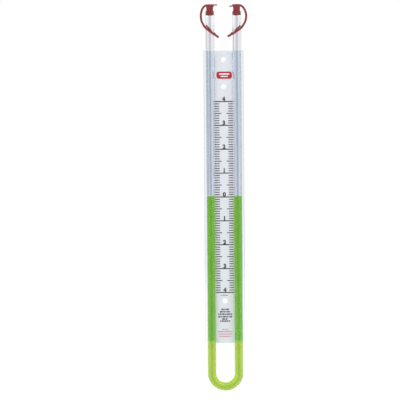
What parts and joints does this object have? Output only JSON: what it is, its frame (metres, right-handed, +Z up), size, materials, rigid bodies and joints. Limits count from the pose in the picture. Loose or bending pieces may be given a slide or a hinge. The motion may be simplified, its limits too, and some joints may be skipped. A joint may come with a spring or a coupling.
{
  "type": "u-tube manometer",
  "caption": "Clear flexible tube bent into a U in a clear wall channel, with a sliding 4-0-4 inch scale between the legs, green liquid and red vent plugs on straps.",
  "frame": {"origin": "middle of the channel's flat back face", "axes": "+Z up along the legs, -Y out of the front, +X to the viewer's right"},
  "size_m": [0.0505, 0.0144, 0.411],
  "materials": {
    "channel_plastic": "gloss",
    "strip_plastic": "satin",
    "tube_vinyl": "gloss",
    "gauge_liquid": "gloss",
    "plug_rubber": "satin"
  },
  "bodies": {
    "frame": {"channel": "channel_plastic", "manometer_tube": "tube_vinyl", "liquid_bend": "gauge_liquid", "left_strap": "plug_rubber", "left_strap_ring": "plug_rubber", "left_liquid_column": "gauge_liquid", "right_strap": "plug_rubber", "right_strap_ring": "plug_rubber", "right_liquid_column": "gauge_liquid"},
    "scale": {"scale_strip": "strip_plastic"},
    "left_vent": {"left_plug": "plug_rubber"},
    "left_level": {"left_meniscus": "gauge_liquid"},
    "right_vent": {"right_plug": "plug_rubber"},
    "right_level": {"right_meniscus": "gauge_liquid"}
  },
  "joints": [
    {"name": "scale_slide", "type": "slide", "parent": "frame", "child": "scale", "axis": [0, 0, 1], "range_m": [-0.004, 0.004]},
    {"name": "left_plug_pull", "type": "slide", "parent": "frame", "child": "left_vent", "axis": [0, 0, 1], "range_m": [0, 0.009], "deforming": ["left_strap"]},
    {"name": "left_level", "type": "slide", "parent": "frame", "child": "left_level", "axis": [0, 0, 1], "range_m": [-0.1016, 0.1016], "stiffness_N_per_m": 0.31, "deforming": ["left_liquid_column"]},
    {"name": "right_plug_pull", "type": "slide", "parent": "frame", "child": "right_vent", "axis": [0, 0, 1], "range_m": [0, 0.009], "deforming": ["right_strap"]},
    {"name": "right_level", "type": "slide", "parent": "frame", "child": "right_level", "axis": [0, 0, 1], "range_m": [-0.1016, 0.1016], "stiffness_N_per_m": 0.31, "deforming": ["right_liquid_column"]}
  ],
  "couplings": [
    {"joint": "right_level", "follows": "left_level", "ratio": -1}
  ]
}
